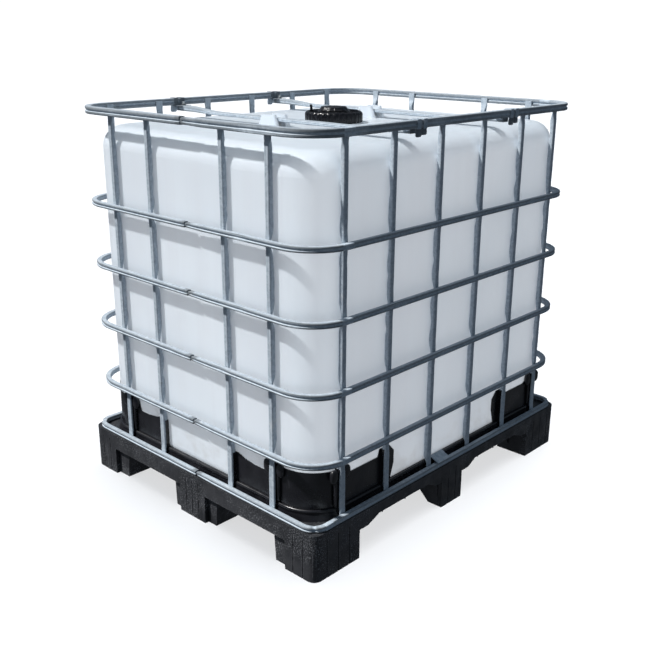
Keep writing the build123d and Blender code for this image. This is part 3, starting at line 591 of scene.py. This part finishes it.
def flat_share(z):
    """How far an upright is pinched flat at height z: 0 in the shaft, 1 in its flat ends."""
    if z > SHAFT_TOP:
        return min(1.0, (z - SHAFT_TOP) / (TOP_FLAT_BOTTOM - SHAFT_TOP))
    if z < SHAFT_BOTTOM:
        return min(1.0, (SHAFT_BOTTOM - z) / (SHAFT_BOTTOM - LOW_FLAT_TOP))
    return 0.0


def upright_tube(seed):
    """One upright of the right side at y = 0: pressed in at every ring and flat at both ends."""
    low, high = box("upright_right_1")
    ring_in = box("cage_ring_top")[1].x - TOP_RING_DEPTH - WELD_GAP
    centres = [sum(z.z for z in box("cage_ring_" + name)) / 2 for name in RINGS[1:-1]]
    chance = random.Random(seed)
    presses = [(z, chance.uniform(5.0, 8.0) * MM, chance.uniform(-0.8, 0.8) * MM) for z in centres]
    knocks = [(chance.uniform(SHAFT_BOTTOM, SHAFT_TOP), chance.uniform(9, 24) * MM,
               chance.uniform(-1.2, 3.4) * MM) for _ in range(UPRIGHT_KNOCKS)]
    heights = []
    z = low.z
    while z < high.z - 2 * MM:
        heights.append(z)
        near_end = z < SHAFT_BOTTOM + 5 * MM or z > SHAFT_TOP - 8 * MM
        near_press = any(abs(z - c) < RIPPLE_OFFSET + 10 * MM for c in centres)
        z += (4.0 if near_end or near_press else 7.0) * MM
    heights.append(high.z)
    sections = []
    for z in heights:
        flat = flat_share(z)
        ease = flat * flat * (3 - 2 * flat)
        top = z > SHAFT_TOP
        width = UPRIGHT_WIDTH + (TOP_FLAT_WIDTH - UPRIGHT_WIDTH) * ease * top
        depth = UPRIGHT_DEPTH + (UPRIGHT_FLAT - UPRIGHT_DEPTH) * ease
        foot = min(1.0, max(0.0, (centres[0] - FOOT_START - z) / FOOT_EASE))
        width += FOOT_EXTRA * foot * foot * (3 - 2 * foot)
        shift = 0.0
        for centre, press, lean in presses:
            hit = math.exp(-((z - centre) / PRESS_REACH) ** 2)
            ripple = math.exp(-((abs(z - centre) - RIPPLE_OFFSET) / RIPPLE_REACH) ** 2)
            depth -= press * hit - 0.18 * press * ripple
            width += 0.2 * press * hit - 0.16 * press * ripple
            shift += lean * (hit - 0.6 * ripple)
        depth -= (1 - ease) * sum(d * math.exp(-((z - spot) / reach) ** 2) for spot, reach, d in knocks)
        depth = max(depth, UPRIGHT_FLAT)
        face = high.x + (ring_in - high.x) * ease * top
        edge = min(UPRIGHT_EDGE, depth / 2 - 0.1 * MM)
        section = rounded_section(depth, width, edge, 0.5 * MM * (1 - ease))
        sections.append([Vector((face - inward, across + shift, z)) for inward, across in section])
    return skin(sections)


def on_side(points, side, along):
    """Points of the right side's upright moved to their place along a side."""
    out = (box("cage_ring_top")[1].y - box("cage_ring_top")[1].x)
    turn = {"right": 0, "front": 90, "left": 180, "rear": 270}[side]
    shift = {"right": (0, along), "left": (0, along), "front": (along, out), "rear": (along, -out)}[side]
    move = Matrix.Translation((*shift, 0)) @ Matrix.Rotation(math.radians(turn), 4, "Z")
    return [move @ p for p in points]


def cage():
    for seed, name in enumerate(RINGS):
        points, faces = ring_tube(name, 40 + seed)
        piece = make_piece("ring_tube_" + name, points, faces, "galvanised_tube", "tote")
        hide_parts("cage_ring_" + name)
    beads = []
    for side, count in (("rear", 4), ("front", 4), ("left", 6), ("right", 6)):
        for number in range(1, count + 1):
            node = f"upright_{side}_{number}"
            low, high = box(node)
            middle = (low + high) / 2
            along = middle.x if side in ("rear", "front") else middle.y
            seed = len(beads) + 7
            points, faces = upright_tube(seed)
            piece = make_piece(f"tube_{side}_{number}", on_side(points, side, along), faces,
                               "galvanised_tube", "tote")
            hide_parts(node)
            for name in RINGS[:-1]:
                ring_low, ring_high = box("cage_ring_" + name)
                z = (ring_low.z + ring_high.z) / 2
                for edge in (-1, 1):
                    spot = Vector((ring_high.x - RING_DEPTH - 0.2 * MM, edge * 8.6 * MM, z))
                    size = Vector((1.6, 2.4, 4.0)) * MM
                    bead_points, bead_faces = nugget(spot, size, seed * 31 + edge)
                    beads.append((on_side(bead_points, side, along), bead_faces))
    points, faces = merged(beads)
    make_piece("cage_welds", points, faces, "galvanised_tube", "tote", sharp=80.0)


def bars():
    """The two bars over the bottle: round-edged tube, pressed flat and low between their ends."""
    for seed, place in enumerate(("front", "rear")):
        low, high = box("cross_bar_" + place)
        middle = (low + high) / 2
        depth, height = high.y - low.y, high.z - low.z
        dents = dent_list(90 + seed, high.x - low.x, BAR_KNOCKS)
        sections = []
        for station in range(BAR_STATIONS + 1):
            x = low.x + (high.x - low.x) * station / BAR_STATIONS
            inner = min(1.0, max(0.0, (high.x - BAR_END - abs(x)) / BAR_EASE))
            ease = inner * inner * (3 - 2 * inner)
            tall = height * (1 - BAR_FLATTEN * ease)
            drop = BAR_DROP * height * ease
            dent = sum(d * math.exp(-((x - low.x - s) / w) ** 2) for s, w, d in dents)
            edge = min(RING_EDGE, 0.45 * tall)
            section = rounded_section(depth, tall, edge, 0.8 * MM)
            sections.append([Vector((x, low.y + across_y,
                                     middle.z - drop + up * (1 - 0.05 * dent / MM)))
                             for across_y, up in section])
        points, faces = skin(sections)
        piece = make_piece("bar_tube_" + place, points, faces, "galvanised_tube", "tote")
        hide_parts("cross_bar_" + place)


def clamps():
    """The four sheet clamps that hold the cross bars to the top ring."""
    for place_y in ("front", "rear"):
        for place_x in ("right", "left"):
            name = f"bar_clamp_{place_y}_{place_x}"
            low, high = box(name)
            side = 1 if place_x == "right" else -1
            points, faces = merged(clamp_solids(high.z, side, (low.y + high.y) / 2))
            piece = make_piece("clamp_" + place_y + "_" + place_x, points, faces,
                               "galvanised_sheet", "tote", sharp=40.0)
            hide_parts(name)


def clamp_solids(top, side, middle):
    """Two straps round the ring, a rounded lug below each and the web between the lugs."""
    ring_low, ring_high = box("cage_ring_top")
    sheet = top - ring_high.z
    out, inn = ring_high.x + sheet, ring_high.x - TOP_RING_DEPTH - sheet
    bottom = ring_low.z - sheet
    solids = []
    for centre, drop in zip(STRAP_PLACES, LUG_DROPS):
        strap = []
        for share, ease in ((-1.0, 0.8), (-0.8, 0.0), (0.8, 0.0), (1.0, 0.8)):
            e = ease * MM
            outline = [(out - e, top - e), (out - e, bottom + e), (STRAP_TONGUE, bottom),
                       (STRAP_TONGUE, bottom + sheet), (out - sheet - e, bottom + sheet),
                       (out - sheet - e, top - sheet - e), (inn + sheet, top - sheet - e),
                       (inn + sheet, bottom + STRAP_LIP), (inn, bottom + STRAP_LIP), (inn, top - e)]
            y = middle + centre + share * STRAP_HALF
            strap.append([Vector((side * x, y, z)) for x, z in outline])
        solids.append(skin(strap))
        lug = []
        for fall, width, thick in ((0, 10.0, 7.0), (0.5, 12.0, 9.0), (0.82, 11.6, 9.0), (0.95, 9.6, 7.5),
                                   (1.0, 6.4, 5.0)):
            z = bottom + 1.0 * MM - fall * drop
            lug.append([Vector((side * (out - (LUG_INSET - thick / 2 * math.cos(a)) * MM),
                                middle + centre * 0.85 + width * math.sin(a) * MM, z))
                        for a in (2 * math.pi * i / 20 for i in range(20))])
        solids.append(skin(lug))
    web = [[Vector((side * (out - x * MM), middle + y * MM, z)) for x, y in
            ((2.6, -16.0), (2.6, 14.0), (7.0, 14.0), (7.0, -16.0))]
           for z in (bottom + 0.5 * MM, bottom - 15.0 * MM)]
    solids.append(skin(web))
    return solids


# --- pallet and guard mouldings -----------------------------------------------------------------
def curb_moulding():
    """The sloping ledge and rounded lip that run round the bottle's foot on the deck."""
    wall = box("bottle")[1]
    deck = box("cage_ring_bottom")[0].z
    profile = [(14.0, 0.1), (13.4, 2.0), (8.4, 15.0), (7.6, 19.0), (8.4, 22.0), (9.0, 25.0),
               (8.4, 28.2), (6.4, 30.2), (4.0, 30.6), (2.4, 29.4), (2.05, 27.0), (2.05, 0.1)]
    stations = loop_stations(wall.x, wall.y, BOTTLE_CORNER, gap=0.0)
    rows = [[place + out * reach * MM + Vector((0, 0, deck + rise * MM)) for reach, rise in profile]
            for place, out in stations]
    points, faces = skin(rows, closed=True)
    make_piece("curb_moulding", points, faces, "guard_plastic", "tote", sharp=60.0)


def corner_fillers():
    """Strips that close the groove on the round of each corner foot, so that it shows as two lines."""
    high = box("pallet")[1]
    solids = []
    for sx in (1, -1):
        for sy in (1, -1):
            sections = []
            for z in (FILLER_ENDS[0], 3.0 * MM, 134.0 * MM, FILLER_ENDS[1]):
                ease = FILLER_EASE if z in FILLER_ENDS else 0.0
                row = []
                arcs = ((FILLER_FACE - ease, range(37, 54)), (FILLER_BACK, range(53, 36, -1)))
                for radius, turns in arcs:
                    for degrees in turns:
                        out = turned(degrees)
                        row.append(Vector((sx * (high.x - FOOT_ROUND + radius * out.x),
                                           sy * (high.y - FOOT_ROUND + radius * out.y), z)))
                sections.append(row if sx * sy > 0 else row[::-1])
            solids.append(skin(sections))
    points, faces = merged(solids)
    make_piece("corner_fillers", points, faces, "pallet_plastic", "tote", sharp=40.0)


def knob(centre, size, steps=16, rows=9):
    """A rounded lobe, squarer than an ellipsoid."""
    def square(value):
        return math.copysign(abs(value) ** 0.75, value)

    points, faces = [], []
    for i in range(rows + 1):
        tilt = math.pi * i / rows
        ring = []
        for j in range(1 if i in (0, rows) else steps):
            turn = 2 * math.pi * j / steps
            ring.append(centre + Vector((size.x * square(math.sin(tilt)) * square(math.cos(turn)),
                                         size.y * square(math.sin(tilt)) * square(math.sin(turn)),
                                         size.z * square(math.cos(tilt)))))
        points += ring
    last = len(points) - 1
    for j in range(steps):
        k = (j + 1) % steps
        faces.append((0, 1 + j, 1 + k))
        faces.append((last, last - steps + k, last - steps + j))
        for i in range(rows - 2):
            a, b = 1 + i * steps, 1 + (i + 1) * steps
            faces.append((a + j, b + j, b + k, a + k))
    return points, faces


def guard_ears():
    """Rounded lobes of each corner guard that grip the uprights beside the corner."""
    for sx, place_x in ((1, "right"), (-1, "left")):
        for sy, place_y in ((1, "front"), (-1, "rear")):
            solids = []
            for side in (-1, 1):
                x = sx * (CORNER_UPRIGHT_X + side * EAR_OFFSET)
                y = sy * (CORNER_UPRIGHT_Y + side * EAR_OFFSET)
                solids += lobes(x, y, sx, sy, EAR_STANDOUT, EAR_HEIGHTS, EAR_SIZE)
                x -= sx * side * RIB_SHIFT
                y -= sy * side * RIB_SHIFT
                solids += lobes(x, y, sx, sy, RIB_STANDOUT, RIB_HEIGHTS, RIB_SIZE)
            points, faces = merged(solids)
            make_piece(f"guard_ears_{place_y}_{place_x}", points, faces, "guard_plastic", "tote")


def lobes(x, y, sx, sy, standout, heights, size):
    """A lobe at x on a corner's short side and one at y on its long side, out from the bottle's wall."""
    wall = box("bottle")[1]
    along, out, up = size
    return [knob(Vector((x, sy * (wall.y + standout), heights[0])), Vector((along, out, up))),
            knob(Vector((sx * (wall.x + standout), y, heights[1])), Vector((out, along, up)))]


# --- lid and vent plug --------------------------------------------------------------------------
def spoke(angle, inner, outer, low, high, half):
    """A small radial rib with a sloping top, as a closed block."""
    out, across = turned(math.degrees(angle)), turned(math.degrees(angle) + 90.0)
    points = []
    for radius, top in ((inner, high), (outer, high - 0.8 * MM)):
        for side in (-half, half):
            for z, share in ((low, 1.0), (top, 0.7)):
                points.append(out * radius + across * side * share + Vector((0, 0, z)))
    faces = [(0, 1, 3, 2), (4, 6, 7, 5), (0, 4, 5, 1), (2, 3, 7, 6), (1, 5, 7, 3), (0, 2, 6, 4)]
    return points, faces


def lid():
    """The ribbed screw lid with a groove and spokes in its top."""
    low, high = box("lid")
    radius = high.x
    top, bottom = high.z, low.z
    grip = 2.4 * MM
    skirt = radius - grip
    rows = [
        (skirt - 6.2 * MM, bottom, 0), (skirt - 1.4 * MM, bottom, 0),
        (skirt - 0.3 * MM, bottom + 0.8 * MM, 0.4 * grip), (skirt, bottom + 2.6 * MM, grip),
        (skirt, bottom + 12 * MM, grip), (skirt, top - 8 * MM, grip),
        (skirt - 0.5 * MM, top - 4.5 * MM, 0.6 * grip), (skirt - 2.2 * MM, top - 1.2 * MM, 0),
        (skirt - 4.6 * MM, top, 0), (skirt - 6.4 * MM, top, 0), (skirt - 8 * MM, top - 0.8 * MM, 0),
        (skirt - 8.6 * MM, top - 4.0 * MM, 0), (52 * MM, top - 4.0 * MM, 0),
        (50.6 * MM, top - 3.2 * MM, 0), (50.0 * MM, top - 0.6 * MM, 0), (49.0 * MM, top, 0),
        (30.4 * MM, top, 0), (29.1 * MM, top - 0.8 * MM, 0), (29.1 * MM, top - 15 * MM, 0),
        (38 * MM, top - 15 * MM, 0), (38 * MM, top - 6 * MM, 0), (skirt - 6.4 * MM, top - 6 * MM, 0),
    ]
    solids = [lathe(rows, LID_GRIPS * 12, Vector((0, 0, 0)), LID_GRIPS)]
    for i in range(18):
        solids.append(spoke(2 * math.pi * i / 18, 50.4 * MM, skirt - 7.6 * MM,
                            top - 4.2 * MM, top - 0.5 * MM, 1.3 * MM))
    points, faces = merged(solids)
    piece = make_piece("lid_shell", points, faces, "lid_plastic", "screw_lid", sharp=40.0)
    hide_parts("lid")
    tab()


def tab():
    """The small upright tab of the lid's tamper seal."""
    top = box("lid")[1].z
    centre, lean = Vector((-47 * MM, -48 * MM, 0)), Vector((-0.10, -0.06, 1.0))
    out = centre.normalized()
    across = Vector((-out.y, out.x, 0))
    sections = []
    for height, half, thick in ((-3.8, 5.4, 1.6), (2, 4.6, 1.5), (9, 3.6, 1.3), (16, 4.2, 1.3),
                                (18.4, 3.4, 1.1)):
        middle = centre + lean * height * MM + Vector((0, 0, top))
        sections.append([middle + (out * half * math.cos(a) + across * thick * math.sin(a)) * MM
                         for a in (2 * math.pi * i / 16 for i in range(16))])
    points, faces = skin(sections)
    make_piece("lid_seal_tab", points, faces, "lid_plastic", "screw_lid", sharp=50.0)


def vent_plug():
    """The plug in the lid's middle: a low scalloped cone with a dished top."""
    low, high = box("vent_plug")
    top, foot = high.z, box("lid")[1].z + 2.2 * MM
    rows = [
        (0, top - 1.8 * MM, 0), (19 * MM, top - 1.8 * MM, 0), (20.5 * MM, top - 1.2 * MM, 0),
        (22 * MM, top - 0.2 * MM, 0), (24 * MM, top, 0), (35.5 * MM, top, 0),
        (37.6 * MM, top - 0.7 * MM, 0), (38.8 * MM, top - 2.0 * MM, -0.6 * MM),
        (43.6 * MM, foot + 3.0 * MM, -2.2 * MM), (45.6 * MM, foot + 1.4 * MM, -1.0 * MM),
        (46.0 * MM, foot + 0.5 * MM, 0), (45.2 * MM, foot, 0), (28.6 * MM, foot, 0),
        (28.6 * MM, low.z, 0), (24.6 * MM, low.z, 0), (24.6 * MM, foot - 3 * MM, 0),
        (0, foot - 3 * MM, 0),
    ]
    solids = [lathe(rows, PLUG_GRIPS * 20, Vector((0, 0, 0)), PLUG_GRIPS)]
    for angle in (0.0, math.pi / 2, math.pi, 1.5 * math.pi):
        solids.append(spoke(angle + 0.4, 2.5 * MM, 19.6 * MM, top - 2.2 * MM, top - 0.2 * MM, 2.6 * MM))
    points, faces = merged(solids)
    piece = make_piece("vent_plug_head", points, faces, "lid_plastic", "vent_plug", sharp=40.0)
    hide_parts("vent_plug")


# --- floor, light and camera --------------------------------------------------------------------
def studio_floor():
    """A wide pale floor."""
    mesh = bpy.data.meshes.new("floor")
    reach = 60.0
    rim = [(reach * math.cos(a), reach * math.sin(a), 0.0)
           for a in (2 * math.pi * i / 96 for i in range(96))]
    mesh.from_pydata(rim, [], [tuple(range(96))])
    floor = bpy.data.objects.new("floor", mesh)
    bpy.context.scene.collection.objects.link(floor)
    p = Paint("floor", specular=0.1)
    colour = p.mix(p.noise(1.5, 3.0), (0.88, 0.88, 0.885), (0.90, 0.90, 0.905))
    mesh.materials.append(p.done(colour, p.ramp(p.noise(4.0, 2.0), 0.3, 0.7, 0.85, 0.95)))
    floor.visible_diffuse = False
    floor.visible_glossy = False
    return floor


def sun(name, strength, direction, spread, colour=(1.0, 1.0, 1.0)):
    """A far light that travels along direction; spread is its angle in degrees."""
    data = bpy.data.lights.new(name, "SUN")
    data.energy = strength
    data.angle = math.radians(spread)
    data.color = colour
    light = bpy.data.objects.new(name, data)
    light.rotation_mode = "QUATERNION"
    light.rotation_quaternion = Vector(direction).to_track_quat("-Z", "Y")
    bpy.context.scene.collection.objects.link(light)
    return light


def group_of(name, objects, state="INCLUDE"):
    group = bpy.data.collections.new(name)
    for item in objects:
        group.objects.link(item)
    for entry in group.collection_objects:
        entry.light_linking.link_state = state
    return group


def studio_light(floor):
    """A hard key from the rear left, a pale surround, and lights of their own for bottle and floor.

    The bottle lets light through, so it has a weaker key and glows that even out its shade.
    """
    bottle = [frame["nodes"]["bottle"]]
    key = sun("key", 5.3, KEY_WAY, 3.2, (1.0, 0.985, 0.965))
    key.light_linking.receiver_collection = group_of("key_skips", [floor] + bottle, "EXCLUDE")
    key = sun("bottle_key", 3.2, KEY_WAY, 3.0, (0.965, 0.985, 1.0))
    key.light_linking.receiver_collection = group_of("bottle_key_lights", bottle)
    for name, strength, way, spread, colour in (
            ("glow_low", 1.15, (0, 0, 1), 180.0, (1.0, 0.97, 0.98)),
            ("glow_high", 0.6, (0, 0, -1), 180.0, (0.9, 0.95, 1.0)),
            ("glow_right", 0.64, (-1, 0.3, -0.05), 60.0, (1.0, 0.975, 0.985)),
            ("glow_corner", 0.52, (-0.72, 0.69, -0.2), 40.0, (0.94, 0.98, 1.0))):
        glow = sun(name, strength, way, spread, colour)
        glow.light_linking.receiver_collection = group_of(name + "_lights", bottle)
        glow.light_linking.blocker_collection = group_of(name + "_blockers", bottle)
    wash = sun("floor_wash", 2.35, (0, 0, -1), 20.0)
    wash.light_linking.receiver_collection = group_of("wash_lights", [floor])
    wash.light_linking.blocker_collection = group_of("wash_blockers", [floor])
    soft = sun("floor_soft", 1.35, (0.03, -0.18, -1), 60.0)
    soft.light_linking.receiver_collection = group_of("soft_lights", [floor])
    surround()


def surround():
    """A cool sky above and a warmer, dimmer ground below; plain white where the camera sees it."""
    world = bpy.data.worlds.new("studio")
    bpy.context.scene.world = world
    world.use_nodes = True
    tree = world.node_tree
    tree.nodes.clear()
    place = tree.nodes.new("ShaderNodeTexCoord")
    split = tree.nodes.new("ShaderNodeSeparateXYZ")
    ramp = tree.nodes.new("ShaderNodeMapRange")
    ramp.inputs["From Min"].default_value = -0.25
    ramp.inputs["From Max"].default_value = 0.35
    mix = tree.nodes.new("ShaderNodeMix")
    mix.data_type = "RGBA"
    mix.inputs[6].default_value = (0.125, 0.135, 0.150, 1.0)
    mix.inputs[7].default_value = (0.130, 0.165, 0.205, 1.0)
    light = tree.nodes.new("ShaderNodeBackground")
    plain = tree.nodes.new("ShaderNodeBackground")
    plain.inputs["Color"].default_value = (1.0, 1.0, 1.0, 1.0)
    plain.inputs["Strength"].default_value = 1.05
    path = tree.nodes.new("ShaderNodeLightPath")
    choose = tree.nodes.new("ShaderNodeMixShader")
    out = tree.nodes.new("ShaderNodeOutputWorld")
    links = tree.links
    links.new(place.outputs["Generated"], split.inputs[0])
    links.new(split.outputs[2], ramp.inputs["Value"])
    links.new(ramp.outputs[0], mix.inputs[0])
    links.new(mix.outputs[2], light.inputs["Color"])
    links.new(path.outputs["Is Camera Ray"], choose.inputs[0])
    links.new(light.outputs[0], choose.inputs[1])
    links.new(plain.outputs[0], choose.inputs[2])
    links.new(choose.outputs[0], out.inputs["Surface"])


def camera():
    a, e, r = (math.radians(x) for x in (AZIMUTH, ELEVATION, ROLL))
    back = Vector((math.sin(a) * math.cos(e), -math.cos(a) * math.cos(e), math.sin(e)))
    level = Vector((0, 0, 1)).cross(back).normalized()
    up = back.cross(level)
    right = level * math.cos(r) + up * math.sin(r)
    up = up * math.cos(r) - level * math.sin(r)
    data = bpy.data.cameras.new("camera")
    data.lens, data.sensor_width = LENS, SENSOR
    data.clip_start, data.clip_end = 0.05, 200.0
    eye = bpy.data.objects.new("camera", data)
    basis = Matrix((right, up, back)).transposed().to_4x4()
    eye.matrix_world = Matrix.Translation(AIM + back * DISTANCE) @ basis
    bpy.context.scene.collection.objects.link(eye)
    bpy.context.scene.camera = eye


bpy.context.scene.view_settings.view_transform = "Standard"
dress_cad_nodes()
cage()
bars()
clamps()
curb_moulding()
corner_fillers()
guard_ears()
lid()
vent_plug()
studio_light(studio_floor())
camera()
